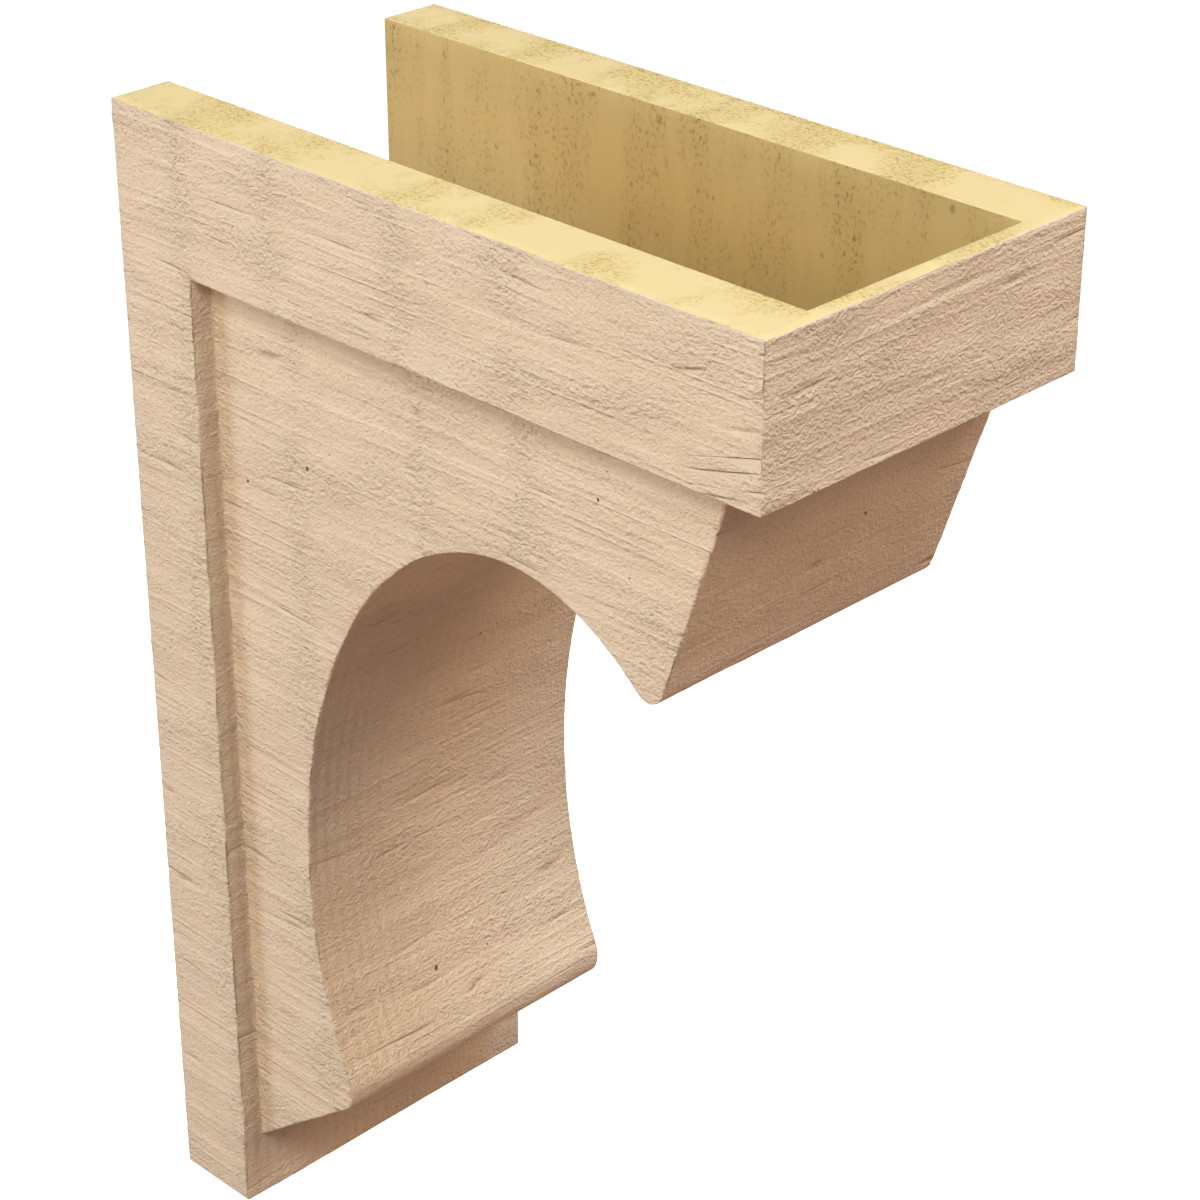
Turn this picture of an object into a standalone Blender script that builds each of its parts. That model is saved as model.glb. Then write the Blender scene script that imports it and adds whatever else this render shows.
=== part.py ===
# A wall corbel: a full-width cap and backboard with a narrower body between them, carved
# with a deep arch and two rounded noses. It is one hollow casting, open along its top and
# along the side that goes against the wall.
#
# Metres, +Z up. The wall is the plane y = 0 and the corbel reaches out along -Y. The origin
# is on the wall face, in the middle of the rail that closes the hollow at the foot.
# Outlines are (depth, height) points: depth out from the wall, height up from the foot.
from math import atan2, cos, pi, radians, sin, sqrt

import bmesh
import bpy
from mathutils import Vector

INCH = 0.0254

# The block
WIDTH = 6 * INCH
DEPTH = 12 * INCH
HEIGHT = 18 * INCH
CAP_HEIGHT = 2.25 * INCH
BACKBOARD_DEPTH = 1.5 * INCH

# The body between them, and the two straight slopes that end in the noses
BODY_RECESS = 0.35 * INCH
UNDERSIDE_START = Vector((BACKBOARD_DEPTH, 1.125 * INCH))
UNDERSIDE_RUN = Vector((4, 3))
FRONT_START = Vector((DEPTH - 0.775 * INCH, HEIGHT - CAP_HEIGHT))
FRONT_RUN = Vector((-1, -3))

# The arch is part of a standing ellipse, and the noses are small ellipses of its proportions
ARCH_CENTRE = Vector((7.375 * INCH, 6.82 * INCH))
ARCH_RADII = Vector((4.357 * INCH, 6.536 * INCH))
LOWER_NOSE_RADIUS = 0.26 * INCH
UPPER_NOSE_RADIUS = 0.335 * INCH

# The hollow
SIDE_WALL = 1 * INCH
SKIN = 0.25 * INCH
FOOT_RAIL = 1 * INCH
HOLLOW_NOSE_RADIUS = 0.05 * INCH

ARCH_STEPS = 64
NOSE_STEPS = 10
OVERSHOOT = 0.5 * INCH
ORIGIN_HEIGHT = FOOT_RAIL / 2
CAP_UNDERSIDE = HEIGHT - CAP_HEIGHT

# sRGB colours of the primed skin and of the bare foam
SKIN_COLOUR = "DCC4AB"
FOAM_COLOUR = "EBD8A4"


def clear_scene():
    for old in list(bpy.data.objects):
        bpy.data.objects.remove(old)


def linear(colour):
    """Turn an sRGB hex colour into linear red, green, blue and alpha."""
    values = [int(colour[i:i + 2], 16) / 255 for i in (0, 2, 4)]
    return [v / 12.92 if v <= 0.04045 else ((v + 0.055) / 1.055) ** 2.4 for v in values] + [1.0]


def plastic(name, colour, roughness):
    """A dull plastic material."""
    material = bpy.data.materials.new(name)
    material.use_nodes = True
    shader = material.node_tree.nodes["Principled BSDF"]
    shader.inputs["Base Color"].default_value = linear(colour)
    shader.inputs["Roughness"].default_value = roughness
    shader.inputs["Metallic"].default_value = 0.0
    return material


def arc(centre, radius, start, end, steps):
    """Points on a round arc, from one angle to another."""
    angles = [start + (end - start) * i / steps for i in range(steps + 1)]
    return [centre + radius * Vector((cos(a), sin(a))) for a in angles]


def rounded_nose(start, run, body_side, radius):
    """Round the corner where a straight slope runs into the arch.

    All lengths are in shares of the arch's radii, so the arch is a circle of radius 1 about
    zero. The rounding touches the slope and the arch. Returns its centre, and the angles
    about that centre at which it touches the slope and the arch.
    """
    along = run.normalized()
    across = Vector((-along.y, along.x)) * body_side
    shifted = start + radius * across
    reach = shifted.dot(along)
    travel = -reach - sqrt(reach ** 2 - shifted.length_squared + (1 + radius) ** 2)
    centre = shifted + travel * along
    return centre, atan2(-across.y, -across.x), atan2(-centre.y, -centre.x)


def carved_outline(inset, lower_nose, upper_nose, back, top):
    """The carved side's points, from depth back on the underside to height top on the front.

    The slopes and the arch stand inset inside the body's surface.
    """
    radii = ARCH_RADII + Vector((inset, inset))

    def inside(start, run, body_side):
        return start + inset * body_side * Vector((-run.y, run.x)).normalized()

    def to_arch(point):
        return Vector(((point.x - ARCH_CENTRE.x) / radii.x, (point.y - ARCH_CENTRE.y) / radii.y))

    def from_arch(point):
        return Vector((ARCH_CENTRE.x + point.x * radii.x, ARCH_CENTRE.y + point.y * radii.y))

    def run_to_arch(run):
        return Vector((run.x / radii.x, run.y / radii.y))

    under = inside(UNDERSIDE_START, UNDERSIDE_RUN, 1)
    front = inside(FRONT_START, FRONT_RUN, -1)
    lower, upper = lower_nose / radii.x, upper_nose / radii.x
    low, low_slope, low_arch = rounded_nose(to_arch(under), run_to_arch(UNDERSIDE_RUN), 1, lower)
    high, high_slope, high_arch = rounded_nose(to_arch(front), run_to_arch(FRONT_RUN), -1, upper)

    points = arc(low, lower, low_slope, low_arch, NOSE_STEPS)
    arch_start, arch_end = low_arch + pi, high_arch + pi
    points += arc(Vector((0, 0)), 1.0, arch_start, arch_end, ARCH_STEPS)[1:]
    points += arc(high, upper, high_arch, high_slope, NOSE_STEPS)[1:]

    rise = UNDERSIDE_RUN.y / UNDERSIDE_RUN.x
    first = Vector((back, under.y + (back - under.x) * rise))
    lean = FRONT_RUN.x / FRONT_RUN.y
    last = Vector((front.x + (top - front.y) * lean, top))
    return [first] + [from_arch(p) for p in points] + [last]


def prism(name, outline, width):
    """Stretch a side outline across the corbel's width."""
    mesh = bpy.data.meshes.new(name)
    bm = bmesh.new()
    corners = [bm.verts.new((-width / 2, -p[0], p[1] - ORIGIN_HEIGHT)) for p in outline]
    side = bm.faces.new(corners)
    made = bmesh.ops.extrude_face_region(bm, geom=[side])["geom"]
    moved = [v for v in made if isinstance(v, bmesh.types.BMVert)]
    bmesh.ops.translate(bm, verts=moved, vec=(width, 0, 0))
    bmesh.ops.recalc_face_normals(bm, faces=bm.faces[:])
    bm.to_mesh(mesh)
    bm.free()
    mesh.shade_smooth()
    mesh.set_sharp_from_angle(angle=radians(20))
    shape = bpy.data.objects.new(name, mesh)
    bpy.context.collection.objects.link(shape)
    return shape


def block_outline():
    """The backboard and the cap together, an upside-down L."""
    return [(0, 0), (BACKBOARD_DEPTH, 0), (BACKBOARD_DEPTH, CAP_UNDERSIDE),
            (DEPTH, CAP_UNDERSIDE), (DEPTH, HEIGHT), (0, HEIGHT)]


def body_outline():
    """The carved body, sunk halfway into the backboard and the cap."""
    back, top = BACKBOARD_DEPTH / 2, HEIGHT - CAP_HEIGHT / 2
    outline = carved_outline(0, LOWER_NOSE_RADIUS, UPPER_NOSE_RADIUS, back, top)
    return outline + [(back, top)]


def hollow_outline():
    """The space inside the walls, run past the open top and the open wall side."""
    back, floor = BACKBOARD_DEPTH - SKIN, CAP_UNDERSIDE + SKIN
    front, over = DEPTH - SKIN, HEIGHT + OVERSHOOT
    inner = carved_outline(SKIN, HOLLOW_NOSE_RADIUS, HOLLOW_NOSE_RADIUS, back, floor)
    return ([(-OVERSHOOT, FOOT_RAIL), (back, FOOT_RAIL)] + inner
            + [(front, floor), (front, over), (-OVERSHOOT, over)])


def combine(target, tool, operation):
    """Join a hidden shape to the casting, or cut it away."""
    tool.hide_render = True
    tool.display_type = "WIRE"
    step = target.modifiers.new(tool.name, "BOOLEAN")
    step.operation = operation
    step.solver = "EXACT"
    step.material_mode = "TRANSFER"
    step.object = tool


def main():
    clear_scene()
    skin = plastic("primed_rough_sawn_polyurethane", SKIN_COLOUR, 0.75)
    foam = plastic("bare_polyurethane_foam", FOAM_COLOUR, 0.9)

    casting = prism("corbel_casting", block_outline(), WIDTH)
    body = prism("body_shape", body_outline(), WIDTH - 2 * BODY_RECESS)
    hollow = prism("hollow_shape", hollow_outline(), WIDTH - 2 * SIDE_WALL)
    casting.data.materials.append(skin)
    body.data.materials.append(skin)
    hollow.data.materials.append(foam)
    combine(casting, body, "UNION")
    combine(casting, hollow, "DIFFERENCE")


main()
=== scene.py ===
# %% [markdown]
# # A rough-sawn corbel
# The corbel is one hollow casting of rigid polyurethane foam. Its mould was taken from
# rough-sawn timber, so the skin has a saw's grain in it, and it is primed in a flat tan.
# The casting is cut square along the top and along the wall side, and there the yellow
# foam shows.
#
# The solid in model.glb has the exact form. This lesson dresses it: the same
# form, cut into fine cells, is pushed in and out by a few tenths of a millimetre for the
# grain, and four finishes carry the rest.

from math import cos, pi, radians, sin

import bmesh
import bpy
from mathutils import Euler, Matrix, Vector, noise


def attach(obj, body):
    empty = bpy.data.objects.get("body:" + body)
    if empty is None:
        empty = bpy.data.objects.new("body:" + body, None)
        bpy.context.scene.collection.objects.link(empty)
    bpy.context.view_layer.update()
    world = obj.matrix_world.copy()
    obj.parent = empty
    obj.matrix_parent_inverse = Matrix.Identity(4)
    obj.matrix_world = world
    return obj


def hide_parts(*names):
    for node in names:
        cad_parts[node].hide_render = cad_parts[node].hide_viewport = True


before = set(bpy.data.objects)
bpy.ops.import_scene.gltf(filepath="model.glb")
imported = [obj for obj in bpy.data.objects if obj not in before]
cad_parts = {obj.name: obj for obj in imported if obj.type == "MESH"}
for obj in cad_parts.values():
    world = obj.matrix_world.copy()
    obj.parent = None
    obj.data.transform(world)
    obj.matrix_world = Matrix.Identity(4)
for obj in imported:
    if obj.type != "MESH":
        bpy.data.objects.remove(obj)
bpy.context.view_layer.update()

# %% [markdown]
# ## The camera
# The viewpoint was worked out from the block's corners: 45 degrees round to the corbel's left
# and 28 degrees above it, far enough away for the edges to close in only slightly. The lens
# is a long one, as a product photographer would use to keep the sides nearly parallel.

# %% The camera
camera_data = bpy.data.cameras.new("product_camera")
camera_data.lens = 96.08
camera_data.sensor_width = 36.0
camera = bpy.data.objects.new("product_camera", camera_data)
camera.location = (-0.7131, -0.8670, 0.8054)
camera.rotation_euler = (radians(62.314), 0.0, radians(-45.362))
bpy.context.collection.objects.link(camera)
bpy.context.scene.camera = camera
print("camera", [round(v, 3) for v in camera.location], "lens", camera_data.lens, "mm")

# %% [markdown]
# ## Two helpers for colour and nodes
# Colours are written as the sRGB hex values that a colour picker gives, but Blender's nodes
# count in linear light, so one function turns the first into the second. Another adds one
# node. Its settings are keywords, its sockets get a number, a colour or a link, and it hands
# back the output that the next node is to read. A node that mixes colours keeps the two in
# sockets 6 and 7, and what it mixed is output 2, so those three numbers get names.


# %% Colour and nodes
ONE, OTHER, MIXED = 6, 7, 2


def linear(colour):
    """Turn an sRGB hex colour into linear red, green, blue and alpha."""
    values = [int(colour[i:i + 2], 16) / 255 for i in (0, 2, 4)]
    return [v / 12.92 if v <= 0.04045 else ((v + 0.055) / 1.055) ** 2.4 for v in values] + [1.0]


def add(tree, kind, sockets, output=0, **settings):
    """Add a node with its settings, values and links, and return one of its outputs."""
    made = tree.nodes.new("ShaderNode" + kind)
    for name, value in settings.items():
        setattr(made, name, value)
    for name, value in sockets.items():
        if isinstance(value, bpy.types.NodeSocket):
            tree.links.new(value, made.inputs[name])
        else:
            made.inputs[name].default_value = value
    return made.outputs[output] if made.outputs else made


# %% [markdown]
# ## The floor
# The floor is a plain white sheet well below the corbel, which hangs as it would on a wall.
# The camera sees it, but it sends no light up, so that the undersides stay as dark and
# warm as the real ones.

# %% The floor
FLOOR_REACH = 30.0
FLOOR_DROP = 1.2

white_sheet = bpy.data.materials.new("white_paper_sheet")
white_sheet.use_nodes = True
sheet_shader = white_sheet.node_tree.nodes["Principled BSDF"]
sheet_shader.inputs["Base Color"].default_value = linear("FFFFFF")
sheet_shader.inputs["Roughness"].default_value = 1.0
sheet_shader.inputs["Emission Color"].default_value = linear("FFFFFF")
sheet_shader.inputs["Emission Strength"].default_value = 1.0

floor_mesh = bpy.data.meshes.new("studio_floor")
floor_mesh.materials.append(white_sheet)
bm = bmesh.new()
bmesh.ops.create_grid(bm, x_segments=1, y_segments=1, size=FLOOR_REACH)
bmesh.ops.translate(bm, verts=bm.verts[:], vec=(0.0, 0.0, -FLOOR_DROP))
bm.to_mesh(floor_mesh)
bm.free()
floor = bpy.data.objects.new("studio_floor", floor_mesh)
bpy.context.collection.objects.link(floor)
floor.visible_diffuse = False
floor.visible_glossy = False
print("floor", [round(v, 1) for v in floor.dimensions])

# %% [markdown]
# ## The light
# Six round soft lights, each three metres away: a low one behind the left side, which
# throws the backboard's shadow onto the body, two at the left, the second higher than the
# first, which bring out the grain, and two high ones at the front right, so that what lies
# under the cap is in shade. The sixth stands behind the right side, and only views from
# behind show its light. A dim warm glow from below stands for light that a wooden floor
# would send back. The strengths were fitted to how bright the faces are beside each other.

# %% The lights
MIDDLE = Vector((0.0, -0.15, 0.25))
LIGHT_DISTANCE = 3.0
LIGHT_WIDTH = 1.2


def soft_light(name, side, rise, power, colour):
    """Hang a round soft light. The side is in degrees from the front towards the left."""
    side, rise = radians(side), radians(rise)
    towards = Vector((-sin(side) * cos(rise), -cos(side) * cos(rise), sin(rise)))
    data = bpy.data.lights.new(name, "AREA")
    data.shape = "DISK"
    data.size = LIGHT_WIDTH
    data.energy = power
    data.color = colour
    lamp = bpy.data.objects.new(name, data)
    lamp.location = MIDDLE + LIGHT_DISTANCE * towards
    lamp.rotation_euler = towards.to_track_quat("Z", "Y").to_euler()
    bpy.context.collection.objects.link(lamp)


soft_light("soft_light_behind_left", 135, 10, 43.0, (0.64, 0.81, 1.0))
soft_light("soft_light_left", 90, 30, 27.5, (1.0, 0.83, 0.52))
soft_light("soft_light_high_left", 65, 50, 66.0, (0.89, 0.98, 1.0))
soft_light("soft_light_high_right", -35, 60, 48.0, (0.5, 0.78, 1.0))
soft_light("soft_light_front_right", -35, 38, 53.0, (1.0, 0.79, 0.6))
soft_light("soft_light_behind_right", -150, 0, 48.0, (1.0, 0.93, 0.85))
bpy.context.scene.view_settings.view_transform = "Standard"

# %% The glow from below
GLOW_COLOUR = (0.50, 0.355, 0.29, 1.0)
HORIZON = 0.05

world = bpy.data.worlds.new("studio_glow")
bpy.context.scene.world = world
world.use_nodes = True
world.node_tree.nodes.clear()
way = add(world.node_tree, "TexCoord", {}, "Generated")
rise = add(world.node_tree, "SeparateXYZ", {"Vector": way}, "Z")
below = add(world.node_tree, "MapRange", {"Value": rise, "From Min": -HORIZON,
                                          "From Max": HORIZON, "To Min": 1.0, "To Max": 0.0})
glow = add(world.node_tree, "Background", {"Color": GLOW_COLOUR, "Strength": below})
plain = add(world.node_tree, "Background", {"Color": linear("FFFFFF"), "Strength": 1.0})
seen = add(world.node_tree, "LightPath", {}, "Is Camera Ray")
light = add(world.node_tree, "MixShader", {"Fac": seen, 1: glow, 2: plain})
add(world.node_tree, "OutputWorld", {"Surface": light})
print("world", world.name, len(world.node_tree.nodes), "nodes")

# %% [markdown]
# ## Which face is which
# The solid from model.glb is loose triangles, so a copy is welded and its flat faces are made
# whole.
# Four kinds of face follow from where a face lies. The sides' grain runs along the depth. The
# front, the slopes, the arch and the underside have grain that runs across the width. The
# top and wall-side edges are cut foam, and everything between the walls is moulded foam.

# %% The copy of the solid, sorted into kinds of face
MILLIMETRE = 0.001
ALONG_DEPTH, ACROSS_WIDTH, CUT_FOAM, MOULDED_FOAM = range(4)
HOLLOW_HALF_WIDTH = 50.8 * MILLIMETRE
WELD_DISTANCE = 0.02 * MILLIMETRE
FLAT_ENOUGH = radians(0.4)
SQUARE_ON = 0.99

casting_mesh = bpy.data.meshes.new("rough_sawn_casting")
bm = bmesh.new()
bm.from_mesh(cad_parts["corbel_casting"].data)
bmesh.ops.remove_doubles(bm, verts=bm.verts[:], dist=WELD_DISTANCE)
bmesh.ops.dissolve_limit(bm, angle_limit=FLAT_ENOUGH, verts=bm.verts[:], edges=bm.edges[:])
top = max(v.co.z for v in bm.verts)


def kind_of(face):
    """Sort a face by where it lies and which way it looks."""
    if face.normal.z > SQUARE_ON and face.calc_center_median().z > top - MILLIMETRE:
        return CUT_FOAM
    if face.normal.y > SQUARE_ON and abs(face.calc_center_median().y) < MILLIMETRE:
        return CUT_FOAM
    if max(abs(v.co.x) for v in face.verts) < HOLLOW_HALF_WIDTH + MILLIMETRE:
        return MOULDED_FOAM
    return ALONG_DEPTH if abs(face.normal.x) > SQUARE_ON else ACROSS_WIDTH


for face in bm.faces:
    face.material_index = kind_of(face)
counts = [sum(f.material_index == kind for f in bm.faces) for kind in range(4)]
print("faces of each kind", counts)

# %% [markdown]
# ## Soft edges
# A mould never leaves a razor edge, and primer rounds it a little more. Every edge that turns
# by more than twenty degrees gets a rounding of about half a millimetre, which is enough
# to catch a thin line of light and not enough to look blunt.

# %% Rounded edges
EDGE_TURN = radians(20)
EDGE_ROUNDING = 0.5 * MILLIMETRE

sharp = [e for e in bm.edges if e.calc_face_angle() > EDGE_TURN]
bmesh.ops.bevel(bm, geom=sharp, offset=EDGE_ROUNDING, offset_type="OFFSET", affect="EDGES",
                segments=2, profile=0.5, material=-1, clamp_overlap=True)
print("rounded", len(sharp), "edges,", len(bm.faces), "faces")

# %% [markdown]
# ## Fine cells
# The grain needs points to move. Planes cut the faces into cells that are narrow across the
# grain and long along it, like the grain itself, which saves three quarters of the points
# that square cells would take. Each set of faces is halved, then its halves are, and so on,
# so that every cut has few faces to look at. The coarse cuts go first, while the mesh is
# small. Blender counts the axes from 0, so the width, the depth and the height are 0, 1 and 2.


# %% Cutting the faces into cells
WIDTH, DEPTH, HEIGHT = range(3)
FACES_THE_AXIS = 0.75
ON_THE_PLANE = 0.01 * MILLIMETRE


def halve(faces, axis, low, high, count):
    """Cut faces between low and high into a number of slices across an axis."""
    if count < 2 or not faces:
        return
    half = count // 2
    place = low + (high - low) * half / count
    across = Vector([float(i == axis) for i in range(3)])
    edges = list({e for f in faces for e in f.edges})
    made = bmesh.ops.bisect_plane(bm, geom=faces + edges, dist=ON_THE_PLANE,
                                  plane_co=across * place, plane_no=across)
    parts = [g for g in made["geom"] if isinstance(g, bmesh.types.BMFace)]
    below = [f for f in parts if f.calc_center_median()[axis] < place]
    above = [f for f in parts if f.calc_center_median()[axis] >= place]
    halve(below, axis, low, place, half)
    halve(above, axis, place, high, count - half)


def cut_up(kind, axis, step):
    """Slice the faces of a kind, apart from those that look along the axis."""
    faces = [f for f in bm.faces
             if f.material_index == kind and abs(f.normal[axis]) < FACES_THE_AXIS]
    places = [v.co[axis] for f in faces for v in f.verts]
    low, high = min(places), max(places)
    halve(faces, axis, low, high, round((high - low) / step))


FINE, MEDIUM, LONG, COARSE = (step * MILLIMETRE for step in (1.0, 3.2, 4.0, 8.0))
for kind, axis, step in ((MOULDED_FOAM, DEPTH, COARSE), (MOULDED_FOAM, HEIGHT, COARSE),
                         (CUT_FOAM, WIDTH, LONG), (CUT_FOAM, DEPTH, LONG),
                         (CUT_FOAM, HEIGHT, LONG), (ACROSS_WIDTH, HEIGHT, FINE),
                         (ALONG_DEPTH, HEIGHT, FINE), (ACROSS_WIDTH, DEPTH, FINE),
                         (ACROSS_WIDTH, WIDTH, MEDIUM), (ALONG_DEPTH, DEPTH, LONG)):
    cut_up(kind, axis, step)
print("cells", len(bm.faces), "triangles", sum(len(f.verts) - 2 for f in bm.faces),
      "open edges", sum(not e.is_manifold for e in bm.edges))

# %% [markdown]
# ## The grain
# A saw leaves slow waves, straight ridges about 10 mm apart with finer ones between, and
# cracks where fibres were pulled out. Where each stroke of the blade turned there is a band
# of torn chips, some 50 mm from the next, and at the front end the blade came out at a slant
# and left gouges. A crack opens only where a second noise is high, which leaves most of the
# skin whole, and few open on the backboard's narrow front strip, where they would look like
# notches. Each of these is a noise with its own stretch, in millimetres, and its seed puts
# it in a place of its own. The heights add up to a few tenths of a millimetre, and each
# point moves along its own normal. Along the edges the points only sink, and by less, so
# that the outline stays straight.


# %% The relief, as a height at each point
STROKES = (35.0, 80.0, 145.0, 195.0)
BAND_REACH = 9.0
BAND_WANDER = 9.0
USUAL_TEAR = 0.3
GOUGES_START = 262.0
GOUGE_SLANT = 0.25
STRIP_END = 45.0
OFF_GRID = Euler((0.5, 0.6, 0.7))
TURN = OFF_GRID.to_matrix()


def stretched(point, grain, along, across, seed):
    """Noise from -1 to 1 with one size along the grain's axis and another across it."""
    sizes = [across, across, across]
    sizes[grain] = along
    place = Vector((point.x / sizes[0], point.y / sizes[1], point.z / sizes[2])) / MILLIMETRE
    return noise.noise(TURN @ place + Vector((seed, -seed, 2.0 * seed)))


def line(value, sharpness):
    """A ridge from 0 to 1 along the places where a noise crosses zero."""
    return max(0.0, 1.0 - sharpness * abs(value))


def torn_share(point, grain):
    """How torn the skin is, from 0 to 1: in the stroke bands, and in patches."""
    patch = 1.2 * stretched(point, grain, 45.0, 14.0, 5.3)
    if grain == WIDTH:
        return min(1.0, max(0.0, USUAL_TEAR + patch))
    place = -point.y / MILLIMETRE + BAND_WANDER * stretched(point, WIDTH, 14.0, 14.0, 2.9)
    band = max(max(0.0, 1.0 - abs(place - stroke) / BAND_REACH) for stroke in STROKES)
    return min(1.0, max(0.0, USUAL_TEAR + 0.8 * patch + band))


def sawn_height(point, grain, torn):
    """The rough-sawn skin's height in millimetres, and its cracks."""
    waves = 0.07 * stretched(point, grain, 70.0, 20.0, 3.1)
    ridges = 0.22 * line(stretched(point, grain, 260.0, 10.0, 7.7), 4.5)
    ridges += 0.12 * line(stretched(point, grain, 110.0, 4.5, 9.1), 3.5)
    lumps = torn * (0.14 * stretched(point, grain, 13.0, 6.0, 19.7)
                    + 0.22 * stretched(point, grain, 7.0, 3.0, 23.3))
    if grain == WIDTH:
        ridges, lumps = 0.75 * ridges, 1.3 * lumps
    fibres, opened = point, -0.7
    if grain == DEPTH:
        past = max(0.0, -point.y / MILLIMETRE - GOUGES_START)
        fibres = point - Vector((0.0, 0.0, GOUGE_SLANT * past * MILLIMETRE))
        opened += min(1.2, past / 12.0) - 0.15
    elif -point.y / MILLIMETRE < STRIP_END:
        opened -= 0.6
    length = 20.0 if grain == DEPTH else 32.0
    opened = min(1.0, max(0.0, 3.0 * stretched(fibres, grain, length, 5.0, 15.1) + opened))
    split = stretched(fibres, grain, 80.0, 6.0, 11.3)
    cracks = 0.5 * opened * line(split, 5.0)
    return waves + ridges - cracks + lumps, split, opened


def relief(point, kind):
    """The height in millimetres, how torn the surface is, and its cracks."""
    if kind in (ALONG_DEPTH, ACROSS_WIDTH):
        grain = DEPTH if kind == ALONG_DEPTH else WIDTH
        torn = torn_share(point, grain)
        height, split, opened = sawn_height(point, grain, torn)
        return height, torn, split, opened
    if kind == CUT_FOAM:
        return 0.06 * stretched(point, WIDTH, 5.0, 5.0, 31.0), 0.0, 1.0, 0.0
    return 0.3 * stretched(point, WIDTH, 35.0, 35.0, 37.0), 0.0, 1.0, 0.0


# %% Moving the points
EDGE_SHARE = 0.4

bm.normal_update()
kept_values = {"height": [], "torn": [], "split": [], "opened": []}
moves = []
for vert in bm.verts:
    kinds = sorted({f.material_index for f in vert.link_faces})
    found = [relief(vert.co, kind) for kind in kinds]
    height, torn, split, opened = (sum(values) / len(found) for values in zip(*found))
    if len(found) > 1:
        height = EDGE_SHARE * min(0.0, height)
    for name, value in (("height", height), ("torn", torn), ("split", split), ("opened", opened)):
        kept_values[name].append(value)
    moves.append(vert.normal * height * MILLIMETRE)
for vert, move in zip(bm.verts, moves):
    vert.co += move
for face in bm.faces:
    face.smooth = True
heights = kept_values["height"]
print("heights from", round(min(heights), 2), "to", round(max(heights), 2), "mm")

# %% [markdown]
# ## The piece
# The finished mesh takes the solid's place. Four values stay on its points for the finishes
# to read: how deep the skin lies there, which sets the painted shade in the pits, how torn it
# is, and the two that place the cracks. A crack runs where the value called split crosses
# zero, so the finish can draw a line much finer than the cells.

# %% The piece
bm.to_mesh(casting_mesh)
bm.free()
for name, values in kept_values.items():
    casting_mesh.attributes.new(name, "FLOAT", "POINT").data.foreach_set("value", values)
casting = bpy.data.objects.new("rough_sawn_casting", casting_mesh)
bpy.context.collection.objects.link(casting)
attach(casting, "root")
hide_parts("corbel_casting")
print("piece", casting.name, "points", len(casting_mesh.vertices))

# %% [markdown]
# ## What the finishes share
# All four finishes are dull polyurethane, so they start from one dull plastic shader. Their
# patterns are noises on the piece's own coordinates, stretched along the grain, and their
# sizes are given in millimetres.


# %% Helpers for the finishes
def dull_material(name, roughness):
    """A material with a dull plastic shader."""
    made = bpy.data.materials.new(name)
    made.use_nodes = True
    shader = made.node_tree.nodes["Principled BSDF"]
    shader.inputs["Roughness"].default_value = roughness
    shader.inputs["Metallic"].default_value = 0.0
    shader.inputs["IOR"].default_value = 1.5
    shader.inputs["Specular IOR Level"].default_value = 0.25
    return made, made.node_tree, shader


def pattern(tree, grain, along, across, detail, low=0.0, high=1.0, to_low=0.0, to_high=1.0):
    """A noise sized in millimetres, with a range of its values stretched to another."""
    scale = [1 / (across * MILLIMETRE)] * 3
    scale[grain] = 1 / (along * MILLIMETRE)
    place = add(tree, "TexCoord", {}, "Object")
    place = add(tree, "Mapping", {"Vector": place, "Scale": scale, "Rotation": OFF_GRID})
    cloud = add(tree, "TexNoise", {"Vector": place, "Scale": 1.0, "Detail": detail,
                                   "Roughness": 0.6})
    return add(tree, "MapRange", {"Value": cloud, "From Min": low, "From Max": high,
                                  "To Min": to_low, "To Max": to_high})


# %% [markdown]
# ## The primed skin's tooth
# Rigid polyurethane, moulded in a rough-sawn pattern and primed in tan: a flat, papery
# surface with a fine tooth. The mesh carries the saw's larger marks. Grit, chips of two or
# three millimetres, thin saw lines 4.5 mm apart and the fine bottoms of the cracks are bump,
# since points for them would run to millions. Real primer grit is about 0.2 mm, too fine to
# show here, so it is drawn at 1 to 1.5 mm. The grain across the width is coarser and has
# fainter saw lines than the grain along the depth, so each has its own shares of them.


# %% The bump of the primed skin
# The least and the most grit, the chips and the saw lines, for each way of the grain
TOOTH = {DEPTH: (0.55, 0.8, 1.6, 0.28), WIDTH: (0.8, 1.1, 1.25, 0.20)}
CRACK_DEPTH = 0.4


def crack_line(tree):
    """The fine bottoms of the open cracks, from 0 to 1."""
    split = add(tree, "Attribute", {}, "Fac", attribute_name="split")
    opened = add(tree, "Attribute", {}, "Fac", attribute_name="opened")
    crack = add(tree, "Math", {0: split}, operation="ABSOLUTE")
    crack = add(tree, "MapRange", {"Value": crack, "From Min": 0.0, "From Max": 0.10,
                                   "To Min": 1.0, "To Max": 0.0})
    deepest = add(tree, "MapRange", {"Value": opened, "From Min": 0.1, "From Max": 0.9})
    return add(tree, "Math", {0: crack, 1: deepest}, operation="MULTIPLY")


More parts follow.
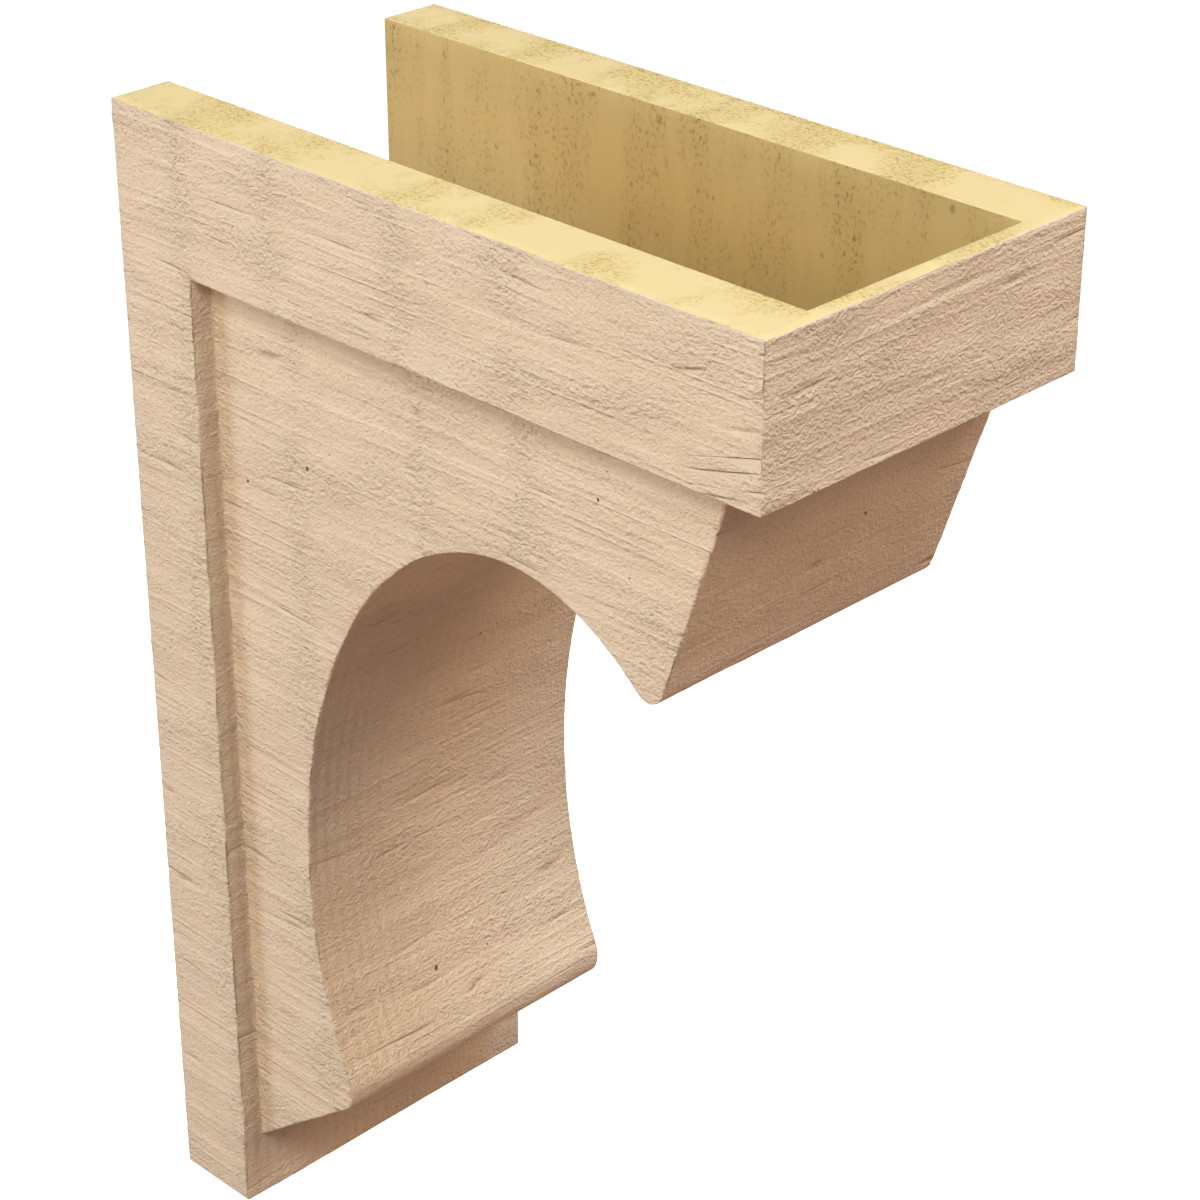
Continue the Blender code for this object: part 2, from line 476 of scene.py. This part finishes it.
def skin_height(tree, grain, grit, crack):
    """The height of the marks that are finer than the mesh."""
    least, most, chip_share, line_share = TOOTH[grain]
    torn = add(tree, "Attribute", {}, "Fac", attribute_name="torn")
    rough = pattern(tree, grain, 26.0, 12.0, 2.0, 0.38, 0.62, least, most)
    height = add(tree, "Math", {0: rough, 1: grit}, operation="MULTIPLY")
    chips = pattern(tree, grain, 2.6, 1.8, 3.0, 0.0, 1.0, 0.0, chip_share)
    height = add(tree, "Math", {0: torn, 1: chips, 2: height}, operation="MULTIPLY_ADD")
    saw_lines = pattern(tree, grain, 160.0, 4.5, 0.0, 0.0, 1.0, -1.0, 1.0)
    saw_lines = add(tree, "Math", {0: saw_lines}, operation="ABSOLUTE")
    saw_lines = add(tree, "MapRange", {"Value": saw_lines, "From Min": 0.0, "From Max": 0.22,
                                       "To Min": 1.0, "To Max": 0.0})
    kept = pattern(tree, grain, 38.0, 7.0, 1.0, 0.36, 0.66, 0.04, line_share)
    height = add(tree, "Math", {0: saw_lines, 1: kept, 2: height}, operation="MULTIPLY_ADD")
    return add(tree, "Math", {0: crack, 1: -CRACK_DEPTH, 2: height}, operation="MULTIPLY_ADD")


# %% [markdown]
# ## The blade's shake
# A saw blade that shakes leaves faint lines square to the grain. Here they are 5.5 mm apart
# and upright. They show under the arch, and fade towards the right and towards the cap. A
# cosine of the place across the width is enough for them.


# %% The lines of the shake
SHAKE = 5.5 * MILLIMETRE


def with_shake(tree, height):
    """Add the shake's upright lines to a height."""
    place = add(tree, "TexCoord", {}, "Object")
    across = add(tree, "SeparateXYZ", {"Vector": place}, "X")
    turns = add(tree, "Math", {0: across, 1: 2 * pi / SHAKE}, operation="MULTIPLY")
    shake = add(tree, "Math", {0: turns}, operation="COSINE")
    share = add(tree, "MapRange", {"Value": across, "From Min": 30.0 * MILLIMETRE,
                                   "From Max": -40.0 * MILLIMETRE, "To Min": 0.0,
                                   "To Max": 0.15})
    low = add(tree, "MapRange", {"Value": across.node.outputs["Z"],
                                 "From Min": 320.0 * MILLIMETRE,
                                 "From Max": 260.0 * MILLIMETRE, "To Min": 0.12, "To Max": 1.0})
    share = add(tree, "Math", {0: share, 1: low}, operation="MULTIPLY")
    return add(tree, "Math", {0: shake, 1: share, 2: height}, operation="MULTIPLY_ADD")


# %% [markdown]
# ## The primed skin's colour
# Sprayed primer has one colour, a little cloudy where the coat is thicker. What varies is
# painted shade: pits in the mesh and in the grit are painted darker, the bottoms of the cracks
# more so. Here and there a pinhole shows as a dark dot.


# %% The colour of the primed skin
def skin_colour(tree, grain, grit, crack):
    """Tan primer, with painted shade in its pits and cracks, and dark pinholes."""
    deep = add(tree, "Attribute", {}, "Fac", attribute_name="height")
    cloudy = pattern(tree, grain, 60.0, 30.0, 3.0, 0.35, 0.65)
    colour = add(tree, "Mix", {"Factor": cloudy, ONE: linear("DDC5AC"), OTHER: linear("D9C1A7")},
                 MIXED, data_type="RGBA")
    # Painted shade in the pits: the primer is painted darker where the mesh lies deep and where
    # the grit dips.
    painted_pit_shade = add(tree, "MapRange", {"Value": deep, "From Min": -0.8, "From Max": -0.2,
                                  "To Min": 0.4, "To Max": 0.0})
    painted_grit_shade = add(tree, "MapRange", {"Value": grit, "From Min": 0.30, "From Max": 0.44,
                                        "To Min": 0.4, "To Max": 0.0})
    painted_pit_shade = add(tree, "Math", {0: painted_pit_shade, 1: painted_grit_shade}, operation="MAXIMUM")
    colour = add(tree, "Mix", {"Factor": painted_pit_shade, ONE: colour, OTHER: linear("B28E70")},
                 MIXED, data_type="RGBA")
    # Painted shade along the bottoms of the open cracks.
    shade = add(tree, "Math", {0: crack, 1: 0.3}, operation="MULTIPLY")
    colour = add(tree, "Mix", {"Factor": shade, ONE: colour, OTHER: linear("8A6648")},
                 MIXED, data_type="RGBA")
    pinholes = pattern(tree, WIDTH, 3.6, 3.6, 0.0, 0.89, 0.905)
    return add(tree, "Mix", {"Factor": pinholes, ONE: colour, OTHER: linear("7A5A40")},
               MIXED, data_type="RGBA")


# %% [markdown]
# ## The primed skin, put together
# Height and colour meet in one finish, made twice: for the sides, whose grain runs along the
# depth, and for the rest, whose grain runs across the width. A flat primer scatters light
# nearly evenly, so the roughness is 0.75. The bump's full height is 1.3 mm, which its
# patterns use only in part.


# %% The primed skin
BUMP_DEPTH = 1.3 * MILLIMETRE


def primed_skin(name, grain):
    """Tan primer over a moulded sawn grain."""
    made, tree, shader = dull_material(name, 0.75)
    grit = pattern(tree, grain, 1.5, 1.1, 3.0)
    crack = crack_line(tree)
    height = skin_height(tree, grain, grit, crack)
    if grain == WIDTH:
        height = with_shake(tree, height)
    bump = add(tree, "Bump", {"Height": height, "Strength": 1.0, "Distance": BUMP_DEPTH})
    tree.links.new(bump, shader.inputs["Normal"])
    tree.links.new(skin_colour(tree, grain, grit, crack), shader.inputs["Base Color"])
    return made


casting_mesh.materials.append(primed_skin("primed_polyurethane_grain_along_depth", DEPTH))
casting_mesh.materials.append(primed_skin("primed_polyurethane_grain_across_width", WIDTH))
print("skins", [len(m.node_tree.nodes) for m in casting_mesh.materials], "nodes")

# %% [markdown]
# ## The cut foam
# Where the casting was sawn off, its cells are open. The foam is pale cream, and patches
# that the blade dragged are rougher and more mustard. Its cells are about 0.3 mm across, too
# fine to show, so the specks are drawn at 1 to 2 mm, the size that dragged cells clump to.


# %% The cut foam
TORN_CELL_DEPTH = 0.9 * MILLIMETRE


def cut_foam():
    """Cream foam with dragged, mustard patches."""
    made, tree, shader = dull_material("sawn_polyurethane_foam", 0.9)
    patches = pattern(tree, DEPTH, 30.0, 45.0, 3.0, 0.43, 0.58)
    specks = pattern(tree, DEPTH, 1.6, 1.1, 3.0)
    height = add(tree, "Math", {0: specks, 1: patches}, operation="MULTIPLY")
    bump = add(tree, "Bump", {"Height": height, "Strength": 1.0, "Distance": TORN_CELL_DEPTH})
    tree.links.new(bump, shader.inputs["Normal"])
    colour = add(tree, "Mix", {"Factor": patches, ONE: linear("D9BE8B"), OTHER: linear("D7BB84")},
                 MIXED, data_type="RGBA")
    dragged = add(tree, "MapRange", {"Value": specks, "From Min": 0.50, "From Max": 0.60,
                                     "To Min": 0.0, "To Max": 0.75})
    share = add(tree, "Math", {0: dragged, 1: patches}, operation="MULTIPLY")
    colour = add(tree, "Mix", {"Factor": share, ONE: colour, OTHER: linear("B29246")},
                 MIXED, data_type="RGBA")
    tree.links.new(colour, shader.inputs["Base Color"])
    return made


casting_mesh.materials.append(cut_foam())

# %% [markdown]
# ## The moulded foam
# The hollow's walls were cast against a core, so they are smooth. They are coloured a deeper
# gold than the cut foam, with brown specks in upright columns, where release wax ran down and
# collected.


# %% The moulded foam
def moulded_foam():
    """Gold foam with columns of brown specks."""
    made, tree, shader = dull_material("moulded_polyurethane_foam", 0.7)
    columns = pattern(tree, HEIGHT, 75.0, 16.0, 3.0, 0.42, 0.66)
    colour = add(tree, "Mix", {"Factor": columns, ONE: linear("BFA26B"), OTHER: linear("B99C64")},
                 MIXED, data_type="RGBA")
    specks = pattern(tree, HEIGHT, 1.9, 1.4, 3.0, 0.54, 0.68, 0.0, 0.85)
    stain = add(tree, "Math", {0: specks, 1: columns}, operation="MULTIPLY")
    blobs = pattern(tree, HEIGHT, 7.0, 5.0, 1.0, 0.76, 0.80, 0.0, 0.5)
    stain = add(tree, "Math", {0: stain, 1: blobs}, operation="MAXIMUM")
    colour = add(tree, "Mix", {"Factor": stain, ONE: colour, OTHER: linear("74592C")},
                 MIXED, data_type="RGBA")
    tree.links.new(colour, shader.inputs["Base Color"])
    return made


casting_mesh.materials.append(moulded_foam())
print("finishes", [m.name for m in casting_mesh.materials])
